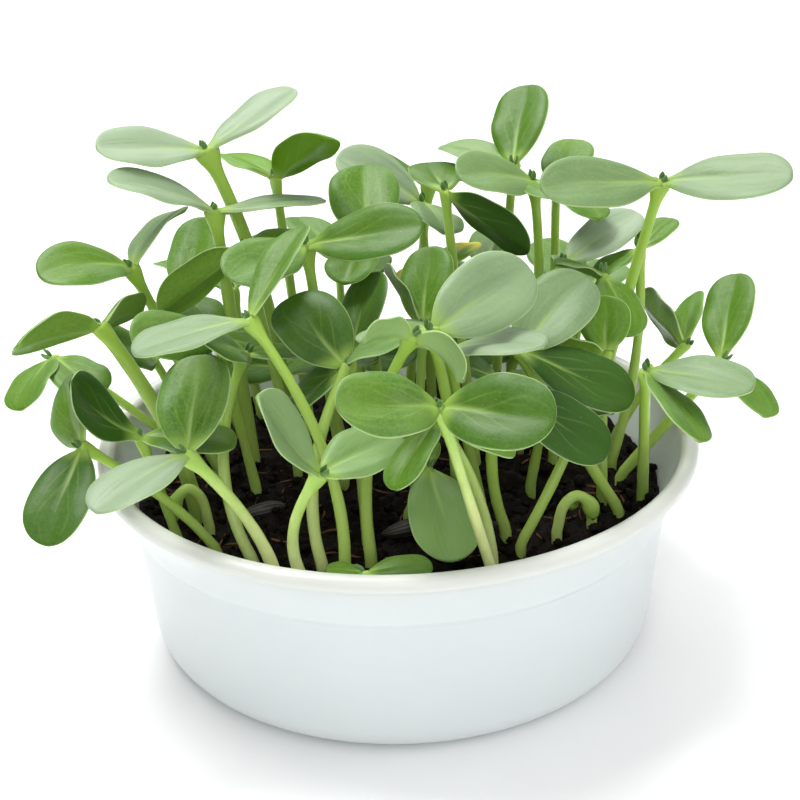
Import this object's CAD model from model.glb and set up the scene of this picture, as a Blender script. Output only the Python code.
# %% [markdown]
# # A tub of young sunflower greens
#
# This lesson builds the looks of one small object: a white plastic food tub, full of dark
# compost, in which 55 sunflower seedlings stand close together and lean for the light. The plain
# solids come first. Each one is then dressed with a finer surface that keeps its place and its
# form. Shapes are worked out in millimetres and turned to metres when a mesh is made. Materials,
# lamps and the camera are in metres from the start.

# %% Load the frame
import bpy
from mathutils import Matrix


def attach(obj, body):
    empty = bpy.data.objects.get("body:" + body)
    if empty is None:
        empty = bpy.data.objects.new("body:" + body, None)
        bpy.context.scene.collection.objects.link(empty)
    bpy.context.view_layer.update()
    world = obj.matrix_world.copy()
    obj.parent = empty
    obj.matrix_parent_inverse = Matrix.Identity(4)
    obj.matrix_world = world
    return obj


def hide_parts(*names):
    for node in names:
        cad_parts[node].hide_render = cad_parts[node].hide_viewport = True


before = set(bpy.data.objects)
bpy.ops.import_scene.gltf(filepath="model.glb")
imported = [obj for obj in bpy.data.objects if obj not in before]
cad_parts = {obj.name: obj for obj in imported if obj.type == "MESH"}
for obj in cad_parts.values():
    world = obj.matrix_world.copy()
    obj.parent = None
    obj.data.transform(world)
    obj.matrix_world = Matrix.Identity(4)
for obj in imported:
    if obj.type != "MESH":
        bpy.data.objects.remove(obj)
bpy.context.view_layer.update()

import math

import bpy
import numpy as np
from mathutils import Matrix, Vector

print("nodes in the frame:", len(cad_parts))

# %% [markdown]
# ## From numbers to a mesh
#
# Every piece is a skin over rings of points: a stem is a stack of small rings, a leaf is a stack
# of long flat ones, and the tub is one profile carried round a circle. One function turns such a
# stack into a closed mesh. It could be done with Blender's Screw or Curve tools, but whole arrays
# keep the formula in sight, and each point can carry numbers that the materials read later.

# %% Skin a stack of rings
def skin(rings, number=0, **marks):
    """Points, quads and triangles of a stack of rings, an array (rings, points, 3), with the
    number of its finish and its marks. Quad (i, k) joins points k and k+1 of ring i to the same
    two of ring i+1. Each end is closed by a fan of triangles to the ring's middle. A mark gives
    every point a number, and may be any array that fits (rings, points)."""
    count, around = rings.shape[:2]
    i, k = np.meshgrid(np.arange(count - 1), np.arange(around), indexing="ij")
    a = i * around + k
    b = i * around + (k + 1) % around
    quads = np.stack([a, b, b + around, a + around], axis=-1).reshape(-1, 4)
    k = np.arange(around)
    beside = (k + 1) % around
    last = (count - 1) * around
    middle = np.full(around, count * around)
    fans = np.concatenate([np.stack([middle, beside, k], axis=-1),
                           np.stack([middle + 1, last + k, last + beside], axis=-1)])

    def with_middles(values):
        """The values of all points, then the means of the first ring and of the last."""
        flat = values.reshape(-1, *values.shape[2:])
        return np.concatenate([flat, [values[0].mean(axis=0), values[-1].mean(axis=0)]])

    marks = {name: with_middles(np.broadcast_to(mark, (count, around))) for name, mark in marks.items()}
    return with_middles(rings), quads, fans, number, marks


print("points, quads, triangles over 3 rings of 6:", [len(part) for part in skin(np.zeros((3, 6, 3)))[:3]])

# %% Put skins into one piece
MM = 0.001


def placed(name, data):
    """An object that holds the mesh, lamp or camera, linked into the scene."""
    obj = bpy.data.objects.new(name, data)
    bpy.context.scene.collection.objects.link(obj)
    return obj


def piece(name, skins, finishes):
    """A mesh object of several skins. Their marks become point attributes, which materials read."""
    points, faces, numbers, start = [], [], [], 0
    for co, quads, fans, number, _ in skins:
        points.append(co)
        faces += (quads + start).tolist() + (fans + start).tolist()
        numbers += [number] * (len(quads) + len(fans))
        start += len(co)
    mesh = bpy.data.meshes.new(name)
    mesh.from_pydata((np.concatenate(points) * MM).tolist(), [], faces)
    mesh.polygons.foreach_set("material_index", numbers)
    mesh.polygons.foreach_set("use_smooth", [True] * len(faces))
    for mark in sorted({m for s in skins for m in s[4]}):
        values = np.concatenate([s[4].get(mark, np.zeros(len(s[0]))) for s in skins])
        mesh.attributes.new(mark, "FLOAT", "POINT").data.foreach_set("value", values.astype(np.float32))
    for finish in finishes:
        mesh.materials.append(finish)
    mesh.validate()
    obj = placed(name, mesh)
    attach(obj, "root")
    return obj


print("a point of a mesh is in metres: 150 mm are", 150 * MM)


# %% [markdown]
# ## Small tools for materials
#
# A colour is written as the hex value that a screen shows. The shader wants linear light, so one
# function turns it. Another adds a shader node: it takes what goes into the node's sockets,
# either a plain number or the output of another node, and the node's settings. Most of the
# finishes here are layers of colour, each over part of the one below, so a third lays those.

# %% Colours and nodes
# The nodes' short names, and the sockets of a Mix node of colours.
MATH, MIX, NOISE = "ShaderNodeMath", "ShaderNodeMix", "ShaderNodeTexNoise"
ATTRIBUTE, RAMP, BUMP = "ShaderNodeAttribute", "ShaderNodeMapRange", "ShaderNodeBump"
FROM, TO, MIXED = 6, 7, 2
SHADER = "Principled BSDF"


def linear(code):
    """'#rrggbb' as linear red, green, blue, and alpha 1: c/12.92 up to 0.04045, else
    ((c+0.055)/1.055)^2.4."""
    c = np.array([int(code[i:i + 2], 16) for i in (1, 3, 5)]) / 255
    c = np.where(c <= 0.04045, c / 12.92, ((c + 0.055) / 1.055) ** 2.4)
    return (*c.tolist(), 1.0)


def add(tree, kind, inputs=None, out=0, **settings):
    """Adds one shader node and returns its output out. A value in inputs that is a socket is
    linked, else it is set."""
    made = tree.nodes.new(kind)
    for key, value in settings.items():
        setattr(made, key, value)
    for key, value in (inputs or {}).items():
        if isinstance(value, bpy.types.NodeSocket):
            tree.links.new(value, made.inputs[key])
        else:
            made.inputs[key].default_value = value
    return made.outputs[out]


print("white in linear light:", linear("#ffffff")[:3])

# %% Layers of colour
EASED = {"interpolation_type": "SMOOTHSTEP"}


def span(value, low, high, at_low=0.0, at_high=1.0):
    """The sockets of a Map Range node that turns low..high into at_low..at_high, and clamps."""
    return {"Value": value, "From Min": low, "From Max": high, "To Min": at_low, "To Max": at_high}


def paint(tree, body, *layers):
    """Lays colours over body, one after another. A layer is (colour, share), and the share is a
    socket, or a span, which is then eased."""
    for colour, share in layers:
        if isinstance(share, dict):
            share = add(tree, RAMP, share, **EASED)
        body = add(tree, MIX, {0: share, FROM: body, TO: linear(colour)}, MIXED, data_type="RGBA")
    return body


def per_metre(size):
    """The scale of a noise on Object coordinates, which are metres, for features of size mm."""
    return 1000 / size


print("a noise for features of 4 mm has the scale", per_metre(4))

# %% Start a material, and link it up
def material(name, roughness, ior, marks=(), **sockets):
    """A material with one Principled shader. Returns it, its tree, its Object coordinates, and
    the marks that it reads from the mesh's points."""
    made = bpy.data.materials.new(name)
    made.use_nodes = True
    tree = made.node_tree
    for key, value in {"Roughness": roughness, "IOR": ior, **sockets}.items():
        tree.nodes[SHADER].inputs[key.replace("_", " ")].default_value = value
    place = add(tree, "ShaderNodeTexCoord", out="Object")
    mark = {m: add(tree, ATTRIBUTE, out="Fac", attribute_name=m, attribute_type="GEOMETRY") for m in marks}
    return made, tree, place, mark


def wired(made, body, bump=None, **others):
    """The material with its colour linked to the shader, and where they are given a bump, which
    is (height, strength, depth in metres), and other sockets."""
    tree = made.node_tree
    links = {"Base Color": body, **others}
    if bump:
        links["Normal"] = add(tree, BUMP, dict(zip(("Height", "Strength", "Distance"), bump)))
    for key, socket in links.items():
        tree.links.new(socket, tree.nodes[SHADER].inputs[key])
    return made


print("the solids' own materials:", [plain.name for plain in bpy.data.materials])

# %% [markdown]
# ## The seed leaf
#
# A sunflower's seed leaf is thick, smooth and almost succulent. Its upper face is a middle green
# under a thin waxy bloom that turns it grey-green where light grazes it. The midrib is a pale
# yellow-green streak, widest at the foot and gone by two thirds of the way, with two faint veins
# that leave it and bend out over each half. The margin is a thin pale line, and the lower face is
# lighter. The flesh passes some light, so a leaf against the sun glows yellow-green.
#
# The pattern follows the leaf, so it can't come from the room's coordinates. Each point of a
# leaf carries how far along it is, how far across, which face it is on, its leaf's tone, and how
# much light comes through it.

# %% Midrib and veins
VEIN_WIDTH = 0.028              # as a share of the leaf's half width


def streak(tree, distance, width, strength):
    """strength * exp(-(distance / width)^2)"""
    ratio = add(tree, MATH, {0: distance, 1: width}, operation="DIVIDE")
    square = add(tree, MATH, {0: ratio, 1: ratio}, operation="MULTIPLY")
    fall = add(tree, MATH, {0: square, 1: -1.0}, operation="MULTIPLY")
    bell = add(tree, MATH, {0: fall}, operation="EXPONENT")
    return add(tree, MATH, {0: bell, 1: strength}, operation="MULTIPLY")


def vein(tree, along, side, leaves_rib, ends, reach, strength):
    """A vein on each half that leaves the midrib at one share of the length and bends out to
    reach at another, fading on the way."""
    line = add(tree, RAMP, span(along, leaves_rib, ends, 0.0, reach), **EASED)
    away = add(tree, MATH, {0: side, 1: line}, operation="SUBTRACT")
    fade = add(tree, RAMP, span(along, ends - 0.25, ends + 0.1, strength, 0.0), **EASED)
    return streak(tree, away, VEIN_WIDTH, fade)


print("a vein is about", round(2 * VEIN_WIDTH * 7, 1), "mm wide on a leaf of 14 mm")

# %% The greens of a seed leaf
def leaf_greens(tree, place, mark, side, cells):
    """The upper face's flesh under its bloom, the paler lower face, and what changes both: the
    leaf's tone, dark streaks, and light from behind."""
    bloom = add(tree, NOISE, {"Vector": place, "Scale": per_metre(9), "Detail": 2.0, "Roughness": 0.5})
    drift = add(tree, NOISE, {"Vector": place, "Scale": per_metre(14), "Detail": 1.0})
    # streaks that run with the leaf: the noise is read in its own along and across
    own = add(tree, "ShaderNodeCombineXYZ", {"X": mark["along"], "Y": mark["across"], "Z": mark["tone"]})
    own = add(tree, "ShaderNodeMapping", {"Vector": own, "Scale": (2.0, 6.0, 31.0)})
    streaks = add(tree, NOISE, {"Vector": own, "Scale": 1.0, "Detail": 3.0, "Roughness": 0.55})
    # deep to middle green in grains of about a millimetre, yellower along the midrib, bluer
    # towards the margin, in drifts of 14 mm, and last the bloom
    upper = paint(tree, linear("#38600b"),
                  ("#57811a", span(cells, 0.32, 0.72)),
                  ("#587c14", streak(tree, side, 0.4, 0.4)),
                  ("#648b45", span(side, 0.45, 1.0, 0.0, 0.4)),
                  ("#688a26", span(drift, 0.4, 0.65, 0.0, 0.35)),
                  ("#7d9f4c", span(streaks, 0.5, 0.8, 0.0, 0.5)),
                  ("#92a488", span(mark["tone"], 0.0, 1.0)),
                  ("#93ac7c", span(bloom, 0.35, 0.75, 0.0, 0.14)))
    lower = paint(tree, linear("#688c36"),
                  ("#7b9e46", span(cells, 0.3, 0.7)),
                  ("#9db884", span(mark["tone"], 0.0, 1.0, 0.0, 0.8)))
    both = add(tree, MIX, {0: mark["upper"], FROM: lower, TO: upper}, MIXED, data_type="RGBA")
    # a glow above 1 is a leaf that has begun to turn, yellow from the tip down
    turned = add(tree, MATH, {0: add(tree, RAMP, span(mark["glow"], 1.0, 2.0), **EASED),
                              1: add(tree, RAMP, span(mark["along"], 0.3, 0.8), **EASED)},
                 operation="MULTIPLY")
    return paint(tree, both,
                 ("#274c0a", span(mark["tone"], -1.0, 0.0, 0.92, 0.0)),
                 ("#3f6a10", span(streaks, 0.2, 0.5, 0.3, 0.0)),
                 ("#68960f", mark["glow"]),
                 ("#cdbc22", turned))


print("deep green in linear light:", [round(c, 3) for c in linear("#274c0a")])

# %% Seed leaf material
def leaf_material():
    """The greens, with veins, specks of dust and wax, midrib, foot and margin laid over them. The
    foot of the blade takes the stem's colour."""
    made, tree, place, mark = material(
        "sunflower_seed_leaf", 0.42, 1.42, ("along", "across", "upper", "tone", "glow"),
        Subsurface_Weight=0.14, Subsurface_Scale=0.0012, Subsurface_Radius=(0.55, 1.0, 0.12),
        Sheen_Weight=0.03, Sheen_Roughness=0.5, Sheen_Tint=linear("#dfeee0"), Specular_IOR_Level=0.32)
    side = add(tree, MATH, {0: mark["across"]}, operation="ABSOLUTE")
    cells = add(tree, NOISE, {"Vector": place, "Scale": per_metre(0.7), "Detail": 3.0, "Roughness": 0.6})
    specks = add(tree, NOISE, {"Vector": place, "Scale": per_metre(0.4)})
    # the midrib is widest at the foot and gone by two thirds
    rib_width = add(tree, RAMP, span(mark["along"], 0.0, 0.7, 0.11, 0.02), **EASED)
    rib_strength = add(tree, RAMP, span(mark["along"], 0.12, 0.8, 0.5, 0.0), **EASED)
    rib = streak(tree, side, rib_width, rib_strength)
    veins = add(tree, MATH, {0: vein(tree, mark["along"], side, -0.05, 0.55, 0.5, 0.2),
                             1: vein(tree, mark["along"], side, 0.25, 0.85, 0.55, 0.13)}, operation="ADD")
    body = paint(tree, leaf_greens(tree, place, mark, side, cells),
                 ("#93b25f", veins),
                 ("#c5d3b4", span(specks, 0.72, 0.8, 0.0, 0.4)),
                 ("#a9c56c", rib),
                 ("#94b450", span(mark["along"], 0.0, 0.2, 0.85, 0.0)),
                 ("#bdd398", span(side, 0.95, 1.0, 0.0, 0.65)))
    # the bump: grains, puckers of 3 mm, and ribs and veins that lie sunk
    pucker = add(tree, NOISE, {"Vector": place, "Scale": per_metre(3), "Detail": 1.0})
    sunk = add(tree, MATH, {0: rib, 1: veins}, operation="ADD")
    height = add(tree, MATH, {0: cells, 1: sunk}, operation="SUBTRACT")
    height = add(tree, MATH, {0: pucker, 1: 2.5, 2: height}, operation="MULTIPLY_ADD")
    rough = add(tree, RAMP, span(cells, 0.2, 0.8, 0.34, 0.46), **EASED)
    return wired(made, body, (height, 0.45, 0.0001), Roughness=rough)


SEED_LEAF = leaf_material()
print(SEED_LEAF.name, "has", len(SEED_LEAF.node_tree.nodes), "nodes")

# %% [markdown]
# ## The stem
#
# A seedling's stem is juicy and half clear: pale yellow-green, a little greener up at the seed
# leaves and almost white where it leaves the compost. It is smooth, with faint lines along it.

# %% Stem material
def stem_material():
    """Colour runs from the foot to the node by the mark 'along', with a little mottling. The mark
    'tone' makes a stem in the shade greener."""
    made, tree, place, mark = material(
        "sunflower_stem", 0.33, 1.4, ("along", "tone"),
        Subsurface_Weight=0.35, Subsurface_Scale=0.003, Subsurface_Radius=(0.8, 1.0, 0.3))
    patches = add(tree, NOISE, {"Vector": place, "Scale": per_metre(5), "Detail": 3.0})
    # lines along the stem: the noise is stretched eight times upwards
    drawn = add(tree, "ShaderNodeMapping", {"Vector": place, "Scale": (1, 1, 0.12)})
    lines = add(tree, NOISE, {"Vector": drawn, "Scale": per_metre(0.5), "Detail": 2.0})
    shade = add(tree, MATH, {0: patches, 1: 0.5, 2: mark["along"]}, operation="MULTIPLY_ADD")
    body = paint(tree, linear("#f0f4b4"),
                 ("#a6c862", span(shade, 0.15, 1.25)),
                 ("#93b540", mark["tone"]),
                 ("#8fae55", add(tree, RAMP, span(lines, 0.35, 0.7, 0.0, 0.12))))
    return wired(made, body, (lines, 0.12, 0.0001))


STEM = stem_material()
print(STEM.name)

# %% [markdown]
# ## The first true leaves
#
# Between the two seed leaves sit the first true leaves, still folded together. They are a darker
# green than the seed leaves, and a short fur makes them look dull and pale at the edges.

# %% True leaf material
def true_leaf_material():
    """Dark green in grains of half a millimetre, with sheen for the fur."""
    made, tree, place, _ = material("sunflower_true_leaf", 0.6, 1.4, Sheen_Weight=0.4, Sheen_Roughness=0.5,
                                    Subsurface_Weight=0.15, Subsurface_Scale=0.001)
    grains = add(tree, NOISE, {"Vector": place, "Scale": per_metre(0.5), "Detail": 2.0})
    return wired(made, paint(tree, linear("#2f5a1c"), ("#5f8f38", grains)), (grains, 0.6, 0.0002))


TRUE_LEAF = true_leaf_material()
print(TRUE_LEAF.name)

# %% [markdown]
# ## The planting plan
#
# No two seedlings are alike, and a rule that scattered them would never give this stand its
# shape, so each has a line of its own: where it is rooted, where its stem ends, how it bows on
# the way, how thick it is, and how its two seed leaves lie. Bearings are degrees seen from above,
# from +X towards +Y. Rise is degrees above level. Roll turns a leaf about its own length, bend
# curls its tip up, and the last number, where there is one, is how deeply the leaf is cupped.

# %% The plan
SOIL_LEVEL, HOLE_DEPTH, STEM_FREE = 38, 13, 2.6
LEAF_WIDEST = 0.58              # share of the length where a leaf is widest
LEAF_START = 1                  # from the node to the foot of a leaf
CUP = 0.2                       # rise of a margin, as a share of the half width

# (root x, y), (node x, y, z), (bow x, y), stem radius,
# (bearing, rise, length, width, roll, bend[, cup]) twice
PLANTS = [
    ((21, -56), (9, -64, 88), (0, 0), 1.25, (-150, 15, 25, 16, -35, -10), (-30, 5, 26, 17, 40, -15)),
    ((-21, -55), (-17, -60, 71), (-6, 0), 1.35, (-150, 60, 26, 12, -50, 30, 0.5), (33, 9, 21.5, 14, 20, -15)),
    ((-28, -52), (-46, -50, 72), (4, 0), 1.45, (85, 35, 26, 17, -10, 10), (-130, -5, 27, 15, 0, -15)),
    ((-43, -37), (-71, -38, 69), (4, 0), 1.2, (-105, -30, 26, 15, 0, -20), (110, 20, 22, 14, -60, 0)),
    ((-52, -34), (-59, -32, 68), (0, 0), 1.2, (-135, 50, 26, 13, -60, 55), (-15, 0, 23, 14, 5, -10)),
    ((21, -46), (9, -52, 79.5), (3, 2), 1.2, (-122, -25, 20, 11.5, 20, -15), (-20, -20, 18, 12, -5, -10)),
    ((2, -22), (7, -29, 56.5), (0, 0), 1.2, (-78, -29, 26, 16, 0, -15), (110, 5, 15, 12, 0, -10)),
    ((-3, -60), (-8, -56, 44), (0, 0), 1.1, (0, 5, 15, 9, 0, -30), (185, 10, 9, 7, 0, -20)),
    ((-7, -42), (4, -50, 98.5), (-6, 8), 1.4,
     (-155, 5, 12, 11, 35, -40, 0.5), (-35, -35, 14, 12, -50, -50, 0.5)),
    ((14, -27), (8, -38, 94.5), (2, 2), 1.4, (30, 20, 28, 17.5, 45, 5), (155, -25, 22, 14, -10, -15)),
    ((20, -18), (12, -28, 85.5), (0, 0), 1.3, (-35, 15, 26, 14, 5, -10), (135, 0, 22, 14, 0, -10)),
    ((53, -23), (28, -25, 84), (0, 0), 1.4, (36, 31, 25, 17, 25, 0), (-20, -20, 29, 14.5, 30, -10)),
    ((25, -31), (24, -39.5, 80.5), (-4, 0), 1.35, (-22, -28, 27, 14.5, 30, -10), (80, -25, 14, 11, 0, -10)),
    ((28, -38), (49.3, -20, 80), (0, -5), 1.25, (180, 10, 14, 10, 45, -10), (96, 75, 14, 12, -10, 45)),
    ((-13, -50), (-32, -32, 96), (8, -3), 1.35, (55, 35, 27, 13, -20, 0, 0.45), (-150, -3, 28, 14, -5, -15)),
    ((-34, -43), (-35, -18, 82), (-8, -2), 1.4, (-115, 30, 22, 14, -35, 0), (10, -5, 12, 9, 0, 0)),
    ((-18, -46), (-11.5, -28, 82), (-6, -4), 1.4, (128, 28, 24, 17, -20, -10), (158, -43, 22, 14, -25, -10)),
    ((60, -15), (57, -30, 80), (0, 0), 1.4, (-40, 5, 27, 14, 15, -10), (-70, -15, 26, 13, -25, -5)),
    ((56, -5), (79, -8, 72), (0, 0), 1.4, (70, 40, 25, 13.5, -20, 0), (-75, -10, 24, 13, -20, -10)),
    ((48, 6), (63, -6, 117), (0, 3), 1.45, (-160, 5, 31, 15, -35, -10), (-35, 10, 32, 15, 30, -5)),
    ((50, -15), (51, 0.5, 92), (0, 0), 1.3, (-76, -30, 19, 13, -15, -20), (-170, 20, 13, 11, 10, -10)),
    ((56, 12), (74, 12, 68), (-3, 0), 1.25, (109, 10, 24, 15, 75, 0), (75, 20, 20, 12, -45, 0)),
    ((55, 4), (61, 10, 95), (4, 2), 1.3, (45, 20, 14, 10, -5, 0), (-165, -25, 13, 9, 0, -5)),
    ((40, 5), (42, 8, 92), (0, 0), 1.3, (34, 20, 26, 14, 10, 0), (70, -20, 15, 11, 15, -10)),
    ((-50, -16), (-68, -18, 90), (4, 0), 1.9, (-125, 10, 26, 14, 50, -15), (70, -10, 20, 13, -50, -30)),
    ((-36, -6), (-41.5, -14, 84.5), (0, 0), 1.3, (-141, 16, 24, 15, -35, -10), (45, -30, 20, 13, 15, -10)),
    ((-46, 4), (-60.5, 8, 70.3), (0, 0), 1.2, (-120, 35, 20, 13, -45, 0), (100, -5, 20, 13, -10, -10)),
    ((-44, -6), (-84, 0, 75), (4, 0), 1.2, (-105, -15, 20, 13, 20, -30), (-50, -10, 20, 14, 0, -20)),
    ((-48, 14), (-63, 2, 97), (2, 0), 1.5, (-140, 10, 25, 15, -25, -45), (60, 20, 24, 13, -25, -40)),
    ((-38, 13), (-43, 12, 107.5), (0, 0), 1.7, (-155, 25, 28.5, 14, -15, -20), (20, -2, 28.5, 13, -5, 0)),
    ((-30, 25), (-45, 22, 120), (6, 0), 1.9, (-155, 10, 28, 15, -25, 0), (30, 25, 28, 14, 5, 0)),
    ((-42, 26), (-54, 22, 82), (0, 0), 1.3, (75, 40, 24, 15, -10, 10), (-55, -15, 15, 12, 0, -20)),
    ((-14, 0), (-20.5, 0, 102), (0, 0), 1.4, (-16, 13, 30, 15, 40, -5), (-134, -2, 25, 15, -25, -10)),
    ((-26, 6), (-36, 8.5, 99), (0, 0), 1.3, (-144, -22, 27, 15, 70, -10), (20, 5, 15, 12, 0, 0)),
    ((-8, -30), (-11, -10, 76), (0, 0), 1.3, (175, -10, 16, 12, 0, -5), (70, 40, 25, 15, -25, 0)),
    ((4, -8), (7, -5, 82), (0, 0), 1.3, (120, 30, 20, 14, 60, 0), (80, 45, 22, 14, -15, 0)),
    ((20, 6), (13.5, 14, 110), (0, 0), 1.3, (-40, -20, 27, 14, -70, 10), (100, 5, 20, 13, 0, 0)),
    ((-4, 20), (-6.5, 16, 98), (0, 0), 1.35, (90, 33, 24, 18, 0, 0), (-112, -25, 16, 13, 0, -10)),
    ((32, 16), (35, 12, 112.5), (4, 0), 1.35, (-145, 15, 24, 15, -30, -15), (-70, 5, 20, 13, 5, 0)),
    ((-14, 14), (-18, 14, 64), (0, 0), 1.3, (165, 15, 15, 12, 10, -10), (-20, 15, 15, 12, 0, -10)),
    ((24, 8), (26, 12, 60), (0, 0), 1.3, (150, 10, 18, 12, 0, -10), (-20, 10, 11, 9, 0, -10)),
    ((33, -8), (36, -10, 60), (0, 0), 1.3, (-30, 15, 19, 13, 0, -10), (150, 10, 20, 13, 0, -10)),
    ((16, 34), (13.3, 26, 86), (0, 0), 1.3, (61, 6, 16, 11, -10, -10), (-150, -5, 14, 10, 0, -10)),
    ((-12, 38), (-10, 43, 53), (0, 0), 1.3, (165, 20, 15, 12, -20, -10), (-20, 15, 18, 12, 30, -10)),
    ((30, 40), (33, 44, 54), (0, 0), 1.3, (200, 15, 19, 13, -30, -10), (-60, 20, 12, 10, 0, -10)),
    ((-32, 42), (-31, 40, 53), (0, 0), 1.3, (205, 15, 19, 13, -30, -10), (70, 40, 14, 11, 0, -10)),
    ((-24, 34), (-29, 30, 110), (0, 0), 1.35, (-45, 35, 25, 14, -30, -10), (130, 5, 22, 13, 10, -10)),
    ((10, 44), (8.5, 46, 97), (0, 0), 1.3, (170, 30, 26, 15, -30, -20), (-75, -5, 20, 14, -20, -15)),
    ((4, 55), (10.5, 56, 99), (0, 0), 1.3, (150, 20, 24, 13, 20, -15), (40, -3, 22, 13, -10, 0)),
    ((26, 30), (31, 24, 113), (0, 0), 1.3, (75, 40, 25, 15, -15, 0), (140, 5, 22, 14, 0, -15)),
    ((42, 28), (42, 26, 106), (0, 0), 1.3, (70, 20, 22, 13, 0, 0), (-60, -10, 18, 13, -10, -10)),
    ((-38, 42), (-44, 46, 74), (0, 0), 1.3, (150, 10, 25, 15, 10, -15), (60, 25, 24, 14, -10, -10)),
    ((-14, 54), (-15, 60, 76), (0, 0), 1.3, (120, 15, 26, 15, 10, -15), (-60, 10, 24, 15, 10, -15)),
    ((24, 50), (26, 56, 74), (0, 0), 1.3, (75, 10, 25, 15, -10, -20), (-110, 20, 24, 14, 0, -10)),
    ((46, 38), (52, 42, 72), (0, 0), 1.3, (55, 5, 20, 13, 10, -15), (120, 20, 24, 14, -10, -10)),
]
print(len(PLANTS), "seedlings; tallest node", max(plant[1][2] for plant in PLANTS), "mm")

# %% [markdown]
# ## A stem is a tube along a curve
#
# The stem leaves the compost upright and ends at the node, bowed a little on the way: a cubic
# Bezier curve. A tube of rings round it is enough, but a perfect tube looks like wire, so its
# radius swells and shrinks by a few hundredths.

# %% Directions, curve and tube
AWAY, UP = np.array([0.0, 1.0, 0.0]), np.array([0.0, 0.0, 1.0])


def unit(v):
    """Each vector of an array (..., 3) brought to length 1."""
    return v / np.linalg.norm(v, axis=-1, keepdims=True)


def heading(bearing, rise=0.0):
    """The unit vector at a bearing and a rise above level, both in degrees."""
    b, e = math.radians(bearing), math.radians(rise)
    return np.array([math.cos(e) * math.cos(b), math.cos(e) * math.sin(b), math.sin(e)])


def angles(count):
    """Equal steps round a circle, in radians."""
    return np.linspace(0, 2 * math.pi, count, endpoint=False)


def bezier(p, t):
    """Points and directions of a cubic Bezier with the four control points p, at shares t.
    Point = (1-t)^3 p0 + 3t(1-t)^2 p1 + 3t^2(1-t) p2 + t^3 p3."""
    t = t[:, None]
    s = 1 - t
    point = s**3 * p[0] + 3 * t * s**2 * p[1] + 3 * t**2 * s * p[2] + t**3 * p[3]
    along = 3 * s**2 * (p[1] - p[0]) + 6 * s * t * (p[2] - p[1]) + 3 * t**2 * (p[3] - p[2])
    return point, unit(along)


def tube(centres, along, across, radii, sides):
    """Rings round a path: centre + radius * (cos a * across + sin a * other)."""
    other = np.cross(along, across)
    a = angles(sides)[:, None]
    spokes = across[:, None] * np.cos(a) + other[:, None] * np.sin(a)
    return centres[:, None] + spokes * radii[:, None, None]


print("a quarter turn from +X is", heading(90).round(3))

# %% One stem
STEM_STEPS, STEM_SIDES = 37, 16
STEM_TAPER, RIPPLE, FINE_RIPPLE = 0.2, 0.03, 0.015
HOLE_GAP = 0.4                  # from a stem's end to the bottom of its hole
ROOT_THIN = [0.6, 0.95, 1.05]   # radii of the rings in the hole, as shares of the stem's
DOME_RISE, DOME_THIN = [0.5, 0.9, 1.1], [0.95, 0.7, 0.35]   # rings above the node
NODE_WIDER, NODE_REACH = 1.1, 3.6


def stem_rings(root, node, bow, radius, spread, rng):
    """Straight up out of the hole, then along the curve, then a short dome above the node. The
    stem is a fifth thinner at the top than at its foot. Within w mm of the node it widens
    along the unit vector spread, which is the line of its two leaves, by 1 + 1.1 exp(-(w/3.6)^2).
    Gives the rings, how far along the stem each is, and the direction at the node."""
    foot = np.array([*root, SOIL_LEVEL + STEM_FREE])
    node, bow = np.array(node, float), np.array([*bow, 0.0])
    third = (node - foot) / 3
    t = 1 - (1 - np.linspace(0, 1, STEM_STEPS + 1)[1:]) ** 1.4
    points, along = bezier((foot, foot + third + bow, foot + 2 * third + bow, node), t)
    ripple = 1.04 - STEM_TAPER * t + RIPPLE * np.sin(t * rng.uniform(9, 16) + rng.uniform(0, 6))
    ripple *= 1 + FINE_RIPPLE * np.sin(t * 31 + rng.uniform(0, 6))
    top = node + np.outer(DOME_RISE, along[-1])
    levels = (SOIL_LEVEL - HOLE_DEPTH + HOLE_GAP, SOIL_LEVEL - 4.0, foot[2] - 0.6)
    centres = np.concatenate([[[*root, z] for z in levels], points, top])
    aim = np.concatenate([[UP] * 3, along, [along[-1]] * 3])
    radii = radius * np.concatenate([ROOT_THIN, ripple, ripple[-1] * np.array(DOME_THIN)])
    rings = tube(centres, aim, unit(np.cross(AWAY, aim)), radii, STEM_SIDES)
    below = np.linalg.norm(node - centres, axis=1)
    widen = NODE_WIDER * np.exp(-(below / NODE_REACH) ** 2)
    out = (rings - centres[:, None]) @ spread
    rings = rings + (out * widen[:, None])[..., None] * spread
    return rings, np.concatenate([[0, 0, 0], t, [1, 1, 1]])[:, None], along[-1]


test_stem = stem_rings((0, 0), (5, 5, 90), (2, 0), 2, heading(0), np.random.default_rng(1))
print("a test stem has (rings, points, 3):", test_stem[0].shape)

# %% [markdown]
# ## A seed leaf is a stack of flat rings
#
# Each ring is a section across the leaf: a long thin lens that is 1.3 mm thick in the middle and
# 0.6 mm at the rounded margins. The stack follows an arc from the node to the tip. The half width
# follows an outline that is nearly an ellipse, blunt at the tip. To that the section adds a cup,
# a groove over the midrib, two fainter ones over the side veins, and a slow wave of the margin.

# %% A leaf's outline and directions
def outline(share, slenderness):
    """Half width for a leaf of half width 1, where w is the widest share. Tip side:
    (1 - ((s-w)/(1-w))^2.5)^0.5, which is blunt. Foot side: (1 - ((w-s)/w)^2.1)^p, and p grows
    from 0.6 to 1 with length over width, so that a long leaf has a tapered foot."""
    taper = min(1.0, max(0.6, 0.6 + 0.8 * (slenderness - 1.5)))
    to_tip = np.clip((share - LEAF_WIDEST) / (1 - LEAF_WIDEST), 0, 1)
    to_foot = np.clip((LEAF_WIDEST - share) / LEAF_WIDEST, 0, 1)
    return (1 - to_tip**2.5) ** 0.5 * (1 - to_foot**2.1) ** taper


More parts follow.
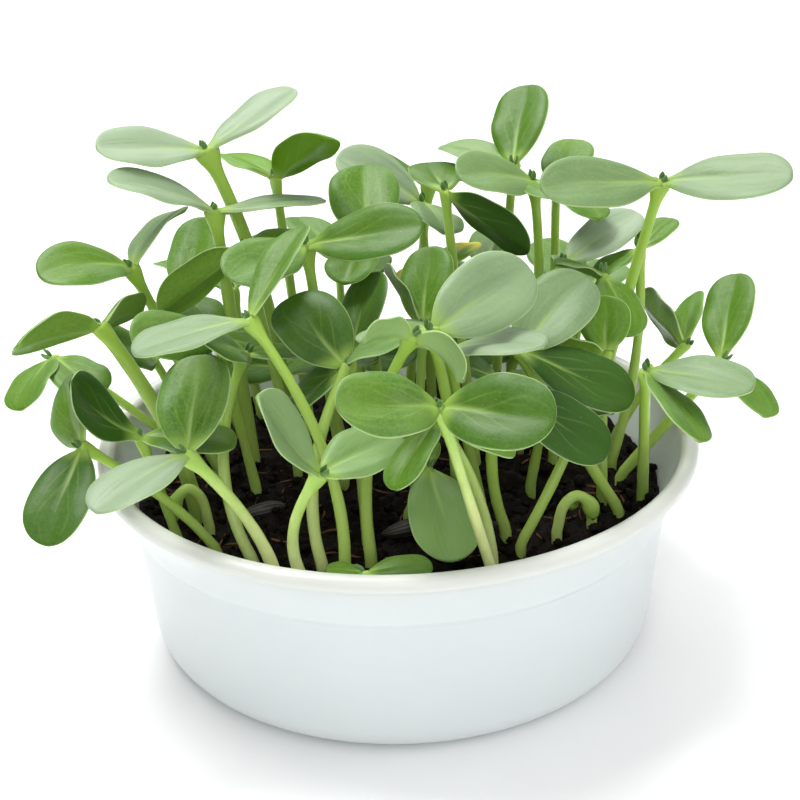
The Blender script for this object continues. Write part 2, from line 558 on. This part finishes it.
def leaf_axes(bearing, rise, roll):
    """Unit vectors along the leaf, across it, and out of its upper face."""
    along, level, r = heading(bearing, rise), heading(bearing + 90), math.radians(roll)
    across = level * math.cos(r) + np.cross(along, level) * math.sin(r)
    return along, across, np.cross(along, across)


def arc(node, leaf, u):
    """A leaf's middle line, an arc of a circle that turns by the leaf's bend over its length. Gives
    its points at shares u, the direction across the leaf, and those out of its face."""
    bearing, rise, length, _, roll, bend = leaf[:6]
    along, across, out = leaf_axes(bearing, rise, roll)
    half = math.radians(bend) / 2 or 1e-6
    turn = (2 * u - 1) * half
    forward = (math.sin(half) + np.sin(turn)) / (2 * math.sin(half))
    lift = (math.cos(half) - np.cos(turn)) / (2 * math.sin(half))
    middle = np.array(node, float) + np.outer(length * forward + LEAF_START * (1 - u), along)
    normal = np.outer(np.cos(turn), out) - np.outer(np.sin(turn), along)
    return middle + np.outer(length * lift, out), across, normal


print("half width at the foot, middle and tip:", outline(np.array([0.0, 0.5, 1.0]), 1.8).round(2))

# %% A leaf's relief
RIB_GROOVE, VEIN_GROOVE = 0.26, 0.09
SWELL, TURN_DOWN = (0.05, 0.14), (0.02, 0.09)   # least and most, as shares of the half width
WAVE = 0.035                                    # as a share of the width


def raised(n, leaf, u, v, face, side, rng):
    """The heights n with the leaf's relief: + cup*|v|^1.3 + swell*sin(pi|v|) - turn*(4|v|-3)^2
    + wave*v^2 - the grooves. Each half swells between the midrib and the margin, which turns
    down again, and the grooves are deeper in the upper face."""
    cup = leaf[6] if len(leaf) > 6 else CUP
    n = n + (cup * side)[:, None] * np.abs(v) ** 1.3
    swell = rng.uniform(*SWELL) * side * (1 - u**3)
    n = n + swell[:, None] * np.sin(math.pi * np.sqrt(v**2 + 0.004 - 0.004 * v**2))
    n = n - (rng.uniform(*TURN_DOWN) * side)[:, None] * np.clip(np.abs(v) * 4 - 3, 0, 1) ** 2
    wave = WAVE * leaf[3] * np.sin(2 * math.pi * (u * rng.uniform(1.1, 1.9) + rng.uniform(0, 1)))
    n = n + (wave * u * (1 - u) * 4)[:, None] * v**2 * np.where(v > 0, 1, rng.uniform(-0.8, 1))
    fade = np.exp(-((u - 0.2) / 0.4) ** 2)[:, None]
    groove = RIB_GROOVE * np.exp(-(v / 0.08) ** 2) + VEIN_GROOVE * np.exp(-((np.abs(v) - 0.44) / 0.1) ** 2)
    return n - groove * fade * np.where(face > 0, 1.0, 0.6)


print("the midrib's groove is", RIB_GROOVE, "mm deep and a side vein's", VEIN_GROOVE, "mm")

# %% One seed leaf
LEAF_ROWS, LEAF_AROUND = 34, 36
THICK, FOOT_THICKER = 1.25, 0.75        # at the midrib, and what the foot has more
EDGE, FOOT_EDGE_THICKER = 0.55, 0.65    # the same at the margins
STALK, STALK_FADES = 1.45, 0.25         # half width of the foot, and the share where it is gone
TIP_THINS = 2.2                         # the half width from which the tip gets thinner
SKEW = 0.035


def leaf_skin(node, leaf, tone, glow, rng):
    """A closed leaf. Ring u, angle a: v = cos a is the place across, and sin a the face, which is
    half the thickness * |sin a|^0.45 from the raised arc. The half width is the outline's and
    the stalk's together: (blade^3 + stalk^3)^(1/3)."""
    length, width = leaf[2:4]
    u = (1 - np.cos(np.linspace(0.02, math.pi, LEAF_ROWS))) / 2
    middle, across, normal = arc(node, leaf, u)

    blade = width / 2 * outline(u, length / width)
    stalk = STALK * np.exp(-(u / STALK_FADES) ** 2)
    skew = SKEW * np.sin(2 * math.pi * u + rng.uniform(0, 6))
    side = (blade**3 + stalk**3) ** (1 / 3) + 0.12
    young = (1 - u) ** 6
    tip = np.minimum(1, side / TIP_THINS)
    thick = (THICK + FOOT_THICKER * young) * tip
    edge = (EDGE + FOOT_EDGE_THICKER * young) * tip

    a = angles(LEAF_AROUND)
    v, face = np.cos(a), np.sin(a)
    half_thick = 0.5 * (edge[:, None] + (thick - edge)[:, None] * (1 - np.abs(v) ** 1.5))
    n = half_thick * np.sign(face) * np.abs(face) ** 0.45
    n = raised(n, leaf, u, v, face, side, rng)
    reach = side[:, None] * (v + skew[:, None] * (1 - v**2))
    rings = middle[:, None] + across * reach[..., None] + normal[:, None] * n[..., None]
    upper = np.clip(face * 6 + 0.5, 0, 1)
    return skin(rings, along=u[:, None], across=v, upper=upper, tone=tone, glow=glow)


print("points of a leaf:", len(leaf_skin((0, 0, 90), PLANTS[0][4], 0.0, 0.0, np.random.default_rng(1))[0]))

# %% [markdown]
# ## The bud
#
# The two true leaves stand 2 or 3 mm tall across the line of the seed leaves, each folded along
# its middle like a small boat. They bulge apart halfway and close towards their tips.

# %% One bud
BUD_ROWS, BUD_AROUND, BUD_HALF_WIDTH = 10, 12, 0.75
BUD_THICK, BUD_FOLD, BUD_APART, BUD_BULGE = 0.25, 0.4, 0.32, 0.7


def bud_skins(node, aim, bearing, rng):
    """Two pointed boats: half width = w * sin(pi * t^0.8)^0.8, and sin(0.75 pi t) is the bulge."""
    skins = []
    tall = rng.uniform(2.0, 3.0)
    t = np.linspace(0, 1, BUD_ROWS)
    a = angles(BUD_AROUND)
    v, face = np.cos(a), np.sin(a)
    half = BUD_HALF_WIDTH * np.sin(math.pi * np.clip(t, 0.04, 0.97) ** 0.8) ** 0.8 + 0.05
    for turn in (90, -90):
        out = heading(bearing + turn + rng.uniform(-12, 12))
        out = unit(out - aim * out.dot(aim))
        lean = BUD_APART + BUD_BULGE * np.sin(math.pi * t * 0.75) * rng.uniform(0.6, 1.0)
        middle = np.array(node, float) + np.outer(0.6 + t * tall, aim) + np.outer(lean, out)
        # the sides fold inwards, towards the other leaf
        n = -BUD_THICK * np.sign(face) * np.abs(face) ** 0.6 - BUD_FOLD * v**2 * half[:, None]
        rings = middle[:, None] + np.cross(aim, out) * (half[:, None] * v)[..., None] + out * n[..., None]
        skins.append(skin(rings, 2, along=t[:, None]))
    return skins


print("skins of a bud:", len(bud_skins((0, 0, 90), UP, 0, np.random.default_rng(1))))

# %% [markdown]
# ## Every seedling
#
# The plan is walked once. Each seedling draws its small differences from its own seeded stream,
# so that the script gives the same stand every time it runs. Neighbours differ in how pale their
# leaves are, by their wax and by how they face the light. Stems behind the front row stand in the
# others' shade and are greener, and so are the tall ones.

# %% Grow the stand
# Two numbers say how pale (above 0) or deep (below 0) the green of a seedling's leaves is, and a
# third how much light comes through both. Above 1 the third turns their tips yellow. Seedlings
# that aren't named here draw all three at random.
LOOKS = {
    1: (0.1, -0.55, 0.05), 2: (0.8, 0.6, 0.4), 3: (0.1, 0.8, 0.0), 4: (-0.6, -0.2, 0.0),
    5: (-0.9, -0.3, 0.0), 6: (0.0, 0.0, 0.1), 7: (0.8, 0.0, 0.55), 8: (-0.1, 0.0, 0.0),
    9: (1.0, 1.0, 0.3), 10: (0.65, 0.3, 0.1), 11: (0.75, 0.5, 0.0), 12: (0.5, -0.8, 0.0),
    13: (-1.0, -1.0, 0.0), 14: (-0.1, 0.0, 0.4), 15: (-0.15, 0.6, 0.0), 16: (-0.7, -0.3, 0.2),
    17: (-0.6, -0.6, 0.0), 18: (0.5, 0.0, 0.0), 19: (-0.6, 0.1, 0.3), 20: (0.4, 0.6, 0.0),
    21: (0.1, 0.1, 0.3), 22: (-0.3, 0.0, 0.3), 24: (1.0, 0.4, 0.0), 25: (-0.15, 0.1, 0.2),
    26: (-0.1, -0.3, 0.0), 29: (0.0, 0.5, 0.0), 30: (0.7, 0.5, 0.0), 31: (0.8, 0.8, 0.0),
    33: (-0.5, 0.2, 0.1), 34: (0.0, 0.0, 0.3), 35: (-0.6, -0.6, 0.1), 36: (-0.3, -0.3, 0.2),
    37: (-1.0, -0.4, 0.0), 38: (0.0, 0.0, 0.1), 39: (0.4, 0.2, 0.1), 40: (-0.6, -0.6, 0.1),
    41: (-0.6, -0.6, 0.1), 42: (-0.7, -0.7, 0.0), 43: (0.2, 0.0, 1.8), 44: (-0.6, -0.6, 0.0),
    45: (-0.6, -0.6, 0.0), 46: (-0.6, -0.6, 0.0), 47: (-0.8, 0.0, 0.7), 48: (0.7, 0.4, 0.0),
    50: (-1.0, 0.6, 0.35),
}
STEM_SHADE = 0.8                # tone of a stem that is all in the shade
FRONT_ROW, FULL_SHADE = -52, 14     # y of the front row, and how far behind it the shade is full
TALL, TALLEST = 90, 6           # height of a node, and how much more makes a stem as green


def seedling(number, plan):
    """The piece that stands for plant number: its stem, two seed leaves and bud."""
    root, node, bow, radius, *leaves = plan
    rng = np.random.default_rng(400 + number)
    spread = unit(heading(*leaves[0][:2]) - heading(*leaves[1][:2]))
    rings, share, aim = stem_rings(root, node, bow, radius, spread, rng)
    shaded = max(0.0, (root[1] - FRONT_ROW) / FULL_SHADE, (node[2] - TALL) / TALLEST)
    tone = STEM_SHADE * min(1.0, shaded)
    skins = [skin(rings, 1, along=share, tone=tone)]
    drawn = (rng.uniform(-0.5, 0.3), rng.uniform(-0.5, 0.3), rng.uniform(0.0, 0.3))
    *tones, glow = LOOKS.get(number, drawn)
    for leaf, tone in zip(leaves, tones):
        skins.append(leaf_skin(node, leaf, tone, glow, rng))
    skins += bud_skins(node, aim, leaves[0][0], rng)
    made = piece(f"seedling_{number:02d}", skins, [SEED_LEAF, STEM, TRUE_LEAF])
    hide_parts(f"plant_{number:02d}")
    return made


stand = [seedling(i + 1, plan) for i, plan in enumerate(PLANTS)]
print(len(stand), "seedlings,", sum(len(o.data.polygons) for o in stand), "faces")

# %% [markdown]
# ## Late sprouts
#
# Three seeds came up late. Each is a short stem bent over like a crook, which pulls its shut seed
# leaves out of the compost. It is one tapering tube along a smooth curve through a few points.

# %% Three crooks
# (root x, y), bearing of the crook, height, reach
SPROUTS = [((37, -33), 10, 9, 9), ((46, -27), 150, 5, 6), ((-46, -25), 200, 11, 9)]
SPROUT_RADIUS, SPROUT_STEPS, SPROUT_SIDES, SPROUT_SHADE = 1.3, 40, 14, 0.6


def sprout(number, root, bearing, height, reach):
    """A tube along the Catmull-Rom curve through the crook, 1.3 mm in radius, that swells to
    2.1 mm where the two seed leaves are folded together and ends in a blunt point."""
    foot = SOIL_LEVEL + STEM_FREE
    crook = [(0, 0), (0.15, 0.7), (0.5, 1), (0.85, 0.75), (1, 0.25)]
    knots = np.array([np.array([*root, foot + height * z]) + heading(bearing) * reach * f for f, z in crook])
    ends = np.concatenate([[2 * knots[0] - knots[1]], knots, [2 * knots[-1] - knots[-2]]])
    t = np.linspace(0, len(crook) - 1.001, SPROUT_STEPS)
    i, f = t.astype(int), (t % 1)[:, None]
    p0, p1, p2, p3 = ends[i], ends[i + 1], ends[i + 2], ends[i + 3]
    centres = 0.5 * (2 * p1 + (p2 - p0) * f + (2 * p0 - 5 * p1 + 4 * p2 - p3) * f**2
                     + (3 * p1 - p0 - 3 * p2 + p3) * f**3)
    along = np.concatenate([[UP] * 2, unit(np.gradient(centres, axis=0))])
    share = t / t[-1]
    swell = 1 + 0.6 * np.exp(-((share - 0.82) / 0.12) ** 2)
    swell *= np.clip((1 - share) / 0.06, 0.15, 1) ** 0.5
    centres = np.concatenate([[[*root, SOIL_LEVEL - HOLE_DEPTH + HOLE_GAP], [*root, foot - 0.8]], centres])
    radii = SPROUT_RADIUS * np.concatenate([[0.6, 1.0], swell])
    rings = tube(centres, along, unit(np.cross(AWAY, along)), radii, SPROUT_SIDES)
    share = np.concatenate([[0, 0], share])[:, None]
    made = piece(f"late_sprout_{number}", [skin(rings, along=share, tone=SPROUT_SHADE)], [STEM])
    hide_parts(f"sprout_{number}")
    return made


crooks = [sprout(i + 1, *plan) for i, plan in enumerate(SPROUTS)]
print([o.name for o in crooks])

# %% [markdown]
# ## Damp potting compost
#
# Peat compost is nearly black when it is damp. Its crumbs are 1 to 5 mm across, dull, with a
# little shine where they are wet and a few brown fibres. Two things make it read as compost:
# a rough top with real height, and loose crumbs lying on it that break up the light.

# %% Compost and fibre materials
def compost_material():
    """Black-brown in patches of 4 mm with brown specks of half a millimetre, wet in places."""
    made, tree, place, _ = material("damp_peat_compost", 0.85, 1.4, Specular_IOR_Level=0.2)
    patches = add(tree, NOISE, {"Vector": place, "Scale": per_metre(4), "Detail": 5.0, "Roughness": 0.7})
    specks = add(tree, NOISE, {"Vector": place, "Scale": per_metre(0.6), "Detail": 3.0})
    body = paint(tree, linear("#040302"),
                 ("#1a110a", patches),
                 ("#3a2212", add(tree, RAMP, span(specks, 0.6, 0.75, 0.0, 0.5))))
    wet = add(tree, RAMP, span(patches, 0.35, 0.65, 0.55, 0.95))
    return wired(made, body, (specks, 0.8, 0.0005), Roughness=wet)


def fibre_material():
    """Dry peat fibre: mid brown, dull."""
    made, tree, place, _ = material("peat_fibre", 0.8, 1.4)
    shade = add(tree, NOISE, {"Vector": place, "Scale": per_metre(2)})
    return wired(made, paint(tree, linear("#3a2310"), ("#84562c", shade)))


COMPOST, FIBRE = compost_material(), fibre_material()
print(COMPOST.name, "and", FIBRE.name)

# %% The compost's top
TUB_BASE, TUB_STEP, TUB_MOUTH = 64.4, 67.8, 70.8   # radii: wall's foot, collar's foot, mouth
STEP_HEIGHT, TUB_HEIGHT, WALL, FLOOR = 38.2, 53.5, 1.6, 2.2
SOIL_AROUND, SOIL_STEPS = 288, 100
CLOD_HEIGHT, WALL_GAP = 1.3, 0.35
# the crumbs' noise: distance between its heights, how tall they are, seed
CRUMBLE = [(4.5, 1.3, 11), (2.2, 0.9, 12), (1.1, 0.4, 13)]
CELLS, SHIFT = 97, 400          # of the noise: how many before it repeats, and from the middle


def inner_radius(z):
    """Radius of the tub's inner wall at height z: two straight slopes that meet at the step."""
    return float(np.interp(z, [9, STEP_HEIGHT, TUB_HEIGHT], [TUB_BASE - WALL, TUB_STEP - WALL, TUB_MOUTH]))


def clods(x, y):
    """The broad crumbs and hollows of the solid: crossed waves of 13 mm, with finer ones of 5.5."""
    broad = np.sin(x * 0.48 + 1.3) * np.cos(y * 0.51 - 0.4)
    fine = np.sin(x * 0.9 - y * 0.7) * np.sin(x * 0.6 + y * 0.95 + 2)
    return CLOD_HEIGHT * (0.6 * broad + 0.4 * fine)


def grain(x, y, size, seed):
    """Value noise: random heights on a grid of the given size, blended by 3f^2 - 2f^3."""
    table = np.random.default_rng(seed).uniform(-1, 1, (CELLS, CELLS))
    gx, gy = x / size + SHIFT, y / size + SHIFT
    i, j = np.floor(gx).astype(int), np.floor(gy).astype(int)
    f, g = gx - i, gy - j
    f, g = f * f * (3 - 2 * f), g * g * (3 - 2 * g)
    near, far = ([table[(i + a) % CELLS, (j + b) % CELLS] for a in (0, 1)] for b in (0, 1))
    return (near[0] * (1 - f) + near[1] * f) * (1 - g) + (far[0] * (1 - f) + far[1] * f) * g


def soil_height(x, y):
    """The clods of the solid, with crumbs of 4.5, 2.2 and 1.1 mm added."""
    return SOIL_LEVEL + clods(x, y) + sum(tall * grain(x, y, size, seed) for size, tall, seed in CRUMBLE)


def soil_rings():
    """Rings from the middle of the floor out to the wall, up it, and back in over the top."""
    a = angles(SOIL_AROUND)
    edge = inner_radius(SOIL_LEVEL) - WALL_GAP
    sides = [(1, FLOOR + 0.3), (TUB_BASE - 9, FLOOR + 0.7), (TUB_BASE - 4.4, 5.6),
             (inner_radius(9) - 0.5, 9), (inner_radius(34) - 0.4, 34)]
    r = np.concatenate([[s[0] for s in sides], edge * (1 - np.linspace(0, 0.995, SOIL_STEPS))])
    x, y = r[:, None] * np.cos(a), r[:, None] * np.sin(a)
    z = soil_height(x, y)
    z[:len(sides)] = np.array([s[1] for s in sides])[:, None]
    return np.stack([x, y, z], axis=-1)


top = soil_rings()
print("the compost's top runs from", top[5:, :, 2].min().round(1), "to", top[5:, :, 2].max().round(1), "mm")

# %% Loose crumbs and fibres
CRUMBS, FIBRES, FIBRE_STEPS, FIBRE_SIDES = 1500, 90, 8, 6
STREWN, FIBRES_STREWN = 65, 63  # radius of the ground that crumbs and fibres lie on
CRUMB_RISE = 0.25               # of a crumb's middle over the ground, as a share of its size


def ball(rows=5, sides=7):
    """A unit ball as rings, which crumbs are made from."""
    t = np.linspace(0.12, math.pi - 0.12, rows)[:, None]
    a = angles(sides)
    return np.stack([-np.cos(a) * np.sin(t), np.sin(a) * np.sin(t), np.cos(t) + 0 * a], axis=-1)


def crumb(rng):
    """A ball of 0.8 to 4 mm, dented at every point by up to a third, then squashed, turned and
    dropped on the compost."""
    size = 0.4 + 1.6 * rng.random() ** 2.2
    r, a = STREWN * math.sqrt(rng.random()), rng.uniform(0, 2 * math.pi)
    x, y = r * math.cos(a), r * math.sin(a)
    rings = ball()
    rings = rings * (1 + rng.uniform(-0.3, 0.3, rings.shape[:2]))[..., None] * size
    rings = rings * np.array([1, rng.uniform(0.6, 1), rng.uniform(0.5, 0.9)])
    c, s = math.cos(a * 7), math.sin(a * 7)
    rings = rings @ np.array([[c, s, 0], [-s, c, 0], [0, 0, 1]])
    return skin(rings + [x, y, soil_height(x, y) + CRUMB_RISE * size])


def fibre(rng):
    """A thin brown shred, 4 to 11 mm long, curved, lying on the crumbs."""
    r, a = FIBRES_STREWN * math.sqrt(rng.random()), rng.uniform(0, 2 * math.pi)
    length, turn, curl = rng.uniform(4, 11), rng.uniform(0, 6.28), rng.uniform(-0.12, 0.12)
    s = np.linspace(-0.5, 0.5, FIBRE_STEPS) * length
    x = r * math.cos(a) + s * math.cos(turn) - curl * s**2 * math.sin(turn)
    y = r * math.sin(a) + s * math.sin(turn) + curl * s**2 * math.cos(turn)
    z = soil_height(x, y).mean() + 0.5 + rng.uniform(-0.05, 0.12) * s
    centres = np.stack([x, y, z], axis=-1)
    along = unit(np.gradient(centres, axis=0))
    radii = rng.uniform(0.15, 0.35) * np.sin(np.linspace(0.35, 2.8, FIBRE_STEPS))
    return skin(tube(centres, along, np.cross(UP, along), radii, FIBRE_SIDES), 1)


rng = np.random.default_rng(77)
loose = [crumb(rng) for _ in range(CRUMBS)] + [fibre(rng) for _ in range(FIBRES)]
soil = piece("compost_bed", [skin(top)] + loose, [COMPOST, FIBRE])
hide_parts("compost")
print("compost faces:", len(soil.data.polygons))

# %% [markdown]
# ## Empty seed hulls
#
# The seedlings have thrown off their hulls, which lie half buried: nearly black, with faint grey
# stripes running from end to end, and pointed at the end that the root came out of.

# %% Hull material
STRIPES, RIDGES = 7, 7          # on each half of a hull, and all round it


def hull_material():
    """Stripes by the mark 'across', grey on black, broken up by noise."""
    made, tree, place, mark = material("sunflower_hull", 0.5, 1.45, ("across",))
    wear = add(tree, NOISE, {"Vector": place, "Scale": per_metre(1.5), "Detail": 3.0})
    wave = add(tree, MATH, {0: mark["across"], 1: 2 * math.pi * STRIPES}, operation="MULTIPLY")
    wave = add(tree, MATH, {0: wave}, operation="SINE")
    wave = add(tree, MATH, {0: wave, 1: wear}, operation="MULTIPLY")
    body = paint(tree, linear("#151110"), ("#4c443d", add(tree, RAMP, span(wave, 0.1, 0.6))))
    return wired(made, body, (wave, 0.4, 0.0002))


HULL = hull_material()
print(HULL.name)

# %% Seed hulls
HULLS = [(-34, -16, 10), (1, -27, 10), (20, -24, 160), (-50, 30, 80), (22, 20, 20)]  # x, y, bearing
HULL_LENGTH, HULL_RADIUS, HULL_FLAT = 12, 3, 0.7
HULL_ROWS, HULL_AROUND = 22, 24
HULL_TILT, HULL_RISE, RIDGE_HEIGHT = 0.15, 0.9, 0.03


def hull_skin(x, y, bearing):
    """A flattened drop along its bearing: radius = 3 * sin(pi * t)^0.6 * (0.75 + 0.3t), with seven
    ridges."""
    along = unit(heading(bearing) + HULL_TILT * UP)
    t = np.linspace(0, 1, HULL_ROWS)
    middle = np.array([x, y, SOIL_LEVEL + clods(x, y) + HULL_RISE])
    radii = HULL_RADIUS * np.sin(math.pi * np.clip(t, 0.01, 0.985)) ** 0.6 * (0.75 + 0.3 * t)
    side = unit(np.cross(UP, along))
    up = np.cross(along, side)
    a = angles(HULL_AROUND)[:, None]
    spokes = (side * np.cos(a) + up * HULL_FLAT * np.sin(a)) * (1 + RIDGE_HEIGHT * np.cos(a * RIDGES))
    rings = (middle + np.outer((t - 0.5) * HULL_LENGTH, along))[:, None] + radii[:, None, None] * spokes
    turn = np.minimum(a, 2 * math.pi - a)[:, 0] / math.pi
    return skin(rings, across=turn)


hulls = piece("seed_hulls", [hull_skin(*h) for h in HULLS], [HULL])
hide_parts("compost")
print(len(HULLS), "hulls")

# %% [markdown]
# ## The tub
#
# It is thin polypropylene, moulded, white with a trace of blue, satin, and just clear enough for
# light to soften inside its wall. Looked at closely it has a rolled rim, a collar that flares
# above a fine step, and a rounded foot. That is one profile carried round a circle.

# %% Tub material
RIM_STARTS, RIM_FULL = 0.046, 0.053     # heights in metres, as Object coordinates are


def tub_material():
    """White plastic with light scattered a few millimetres deep, and a faint orange-peel. The wall
    is a cool white and turns a little warmer from 46 mm up, over the rim."""
    made, tree, place, _ = material(
        "white_polypropylene", 0.32, 1.49,
        Subsurface_Weight=0.4, Subsurface_Scale=0.004, Subsurface_Radius=(1.0, 0.95, 0.85))
    height = add(tree, "ShaderNodeSeparateXYZ", {"Vector": place}, "Z")
    body = paint(tree, linear("#d3d9d9"), ("#cfd1cb", span(height, RIM_STARTS, RIM_FULL)))
    peel = add(tree, NOISE, {"Vector": place, "Scale": per_metre(3), "Detail": 2.0})
    return wired(made, body, (peel, 0.06, 0.0003))


POLYPROPYLENE = tub_material()
print(POLYPROPYLENE.name)

# %% The tub's profile
# Up the outside, over the rim and down the inside: (radius, height, radius of the corner)
PROFILE = [
    (0.3, 0.25, 0), (54, 0.25, 0.3), (54.6, 0, 0.3), (57.2, 0, 1.5), (61.6, 1.6, 3), (63.9, 5.2, 4),
    (64.5, 9, 4), (67.4, 37.2, 0.5), (68.2, 38.2, 0.5), (69.6, 43.4, 5), (72.6, 48.6, 3),
    (73.9, 49.9, 0.5), (75, 50.4, 0.7), (75, 52.4, 1.2), (73.7, 53.5, 1.0), (71.9, 53.5, 0.6),
    (70.8, 52.6, 0.9), (70.2, 50.2, 2), (66.3, 38.3, 1.0), (62.9, 9, 4), (60.9, 5, 3),
    (56.4, 2.5, 2), (0.3, 2.2, 0),
]
ARC_STEP, TUB_AROUND = 0.35, 224


def rounded(corners):
    """A polyline (radius, height, corner radius) with each corner replaced by an arc-like curve:
    a quadratic Bezier between the points where the rounding starts and ends."""
    p = np.array([c[:2] for c in corners], float)
    pts = [p[:1]]
    for before, corner, after, (_, _, r) in zip(p, p[1:], p[2:], corners[1:]):
        back, ahead = before - corner, after - corner
        start = corner + unit(back) * min(r, 0.49 * np.linalg.norm(back))
        end = corner + unit(ahead) * min(r, 0.49 * np.linalg.norm(ahead))
        t = np.linspace(0, 1, max(4, int(r / ARC_STEP) + 3))[:, None]
        pts.append((1 - t) ** 2 * start + 2 * t * (1 - t) * corner + t**2 * end)
    return np.concatenate(pts + [p[-1:]])


def tub_rings(profile):
    """The profile (r, z) at angle a is (r cos a, r sin a, z)."""
    a = angles(TUB_AROUND)
    r, z = profile[:, :1], profile[:, 1:]
    return np.stack([r * np.cos(a), r * np.sin(a), z + 0 * a], axis=-1)


rings = tub_rings(rounded(PROFILE))
tub = piece("food_tub", [skin(rings)], [POLYPROPYLENE])
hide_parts("tub")
print("tub rings:", rings.shape[:2])

# %% [markdown]
# ## Floor, light and camera
#
# The tub stands on a plain white sweep in a bright room. A white world and a very large lamp
# overhead give the even light. A window lamp, high up and a little behind, makes the leaves'
# upper faces shine and lets some light through them. Two weaker lamps fill the shadows from the
# front and the right, and the last one keeps the sweep white behind the tub.

# %% Floor and light
FLOOR_REACH = 4.0
WORLD_LIGHT = 0.28
# name, place, what it looks at, diameter, power in watts
LAMPS = [
    ("ceiling", (0, 0.3, 2.4), (0, 0.3, 0), 5.0, 36.0),
    ("window", (-0.3, 0.2, 0.95), (0, 0, 0.07), 0.5, 8.8),
    ("fill", (0.0, -0.9, 0.45), (0, 0, 0.06), 0.8, 4.0),
    ("side", (0.9, -0.2, 0.45), (0, 0, 0.05), 0.8, 2.2),
    ("backdrop", (0.0, 1.6, 1.3), (0, 1.5, 0), 1.4, 14.0),
]


def floor_material():
    """Matt white paper, with flecks of 40 mm that hardly show."""
    made, tree, place, _ = material("white_paper_sweep", 0.9, 1.3)
    fleck = add(tree, NOISE, {"Vector": place, "Scale": per_metre(40)})
    return wired(made, paint(tree, linear("#f6f6f6"), ("#fbfbfb", fleck)))


def flat_floor():
    """A square of side 2 * FLOOR_REACH at height 0."""
    mesh = bpy.data.meshes.new("paper_sweep")
    corners = [(x * FLOOR_REACH, y * FLOOR_REACH, 0) for x, y in ((-1, -1), (1, -1), (1, 1), (-1, 1))]
    mesh.from_pydata(corners, [], [(0, 1, 2, 3)])
    mesh.materials.append(floor_material())
    obj = placed("paper_sweep", mesh)


def soft_lamp(name, place, aim, size, power):
    """A round area lamp that looks from its place at its aim."""
    lamp = bpy.data.lights.new(name, "AREA")
    lamp.shape, lamp.size, lamp.energy = "DISK", size, power
    obj = placed(name, lamp)
    obj.location = place
    obj.rotation_euler = (Vector(aim) - Vector(place)).to_track_quat("-Z", "Y").to_euler()


flat_floor()
for lamp in LAMPS:
    soft_lamp(*lamp)
world = bpy.data.worlds.new("white_room")
bpy.context.scene.world = world
world.use_nodes = True
world.node_tree.nodes["Background"].inputs["Color"].default_value = linear("#fbfdff")
world.node_tree.nodes["Background"].inputs["Strength"].default_value = WORLD_LIGHT
bpy.context.scene.view_settings.view_transform = "Standard"
print(len(LAMPS), "lamps")

# %% Camera
CAMERA_AT = Vector((0.0, -0.3637, 0.2275))
LOOKS_AT = Vector((0.0009, 0.0, 0.061))
ROLL = math.radians(-1.72)
LENS, FRAME_WIDTH = 72, 36      # both in mm


def set_camera():
    """Looks from CAMERA_AT to LOOKS_AT. The frame's axes are turned by ROLL about the view."""
    forward = (LOOKS_AT - CAMERA_AT).normalized()
    right = forward.cross(Vector((0, 0, 1))).normalized()
    up = right.cross(forward)
    x = right * math.cos(ROLL) + up * math.sin(ROLL)
    y = up * math.cos(ROLL) - right * math.sin(ROLL)
    data = bpy.data.cameras.new("camera")
    data.lens, data.sensor_width = LENS, FRAME_WIDTH
    data.clip_start, data.clip_end = 0.01, 20
    obj = placed("camera", data)
    obj.matrix_world = Matrix.Translation(CAMERA_AT) @ Matrix((x, y, -forward)).transposed().to_4x4()
    bpy.context.scene.camera = obj


set_camera()
print("the camera is", round((LOOKS_AT - CAMERA_AT).length, 3), "m from what it looks at")
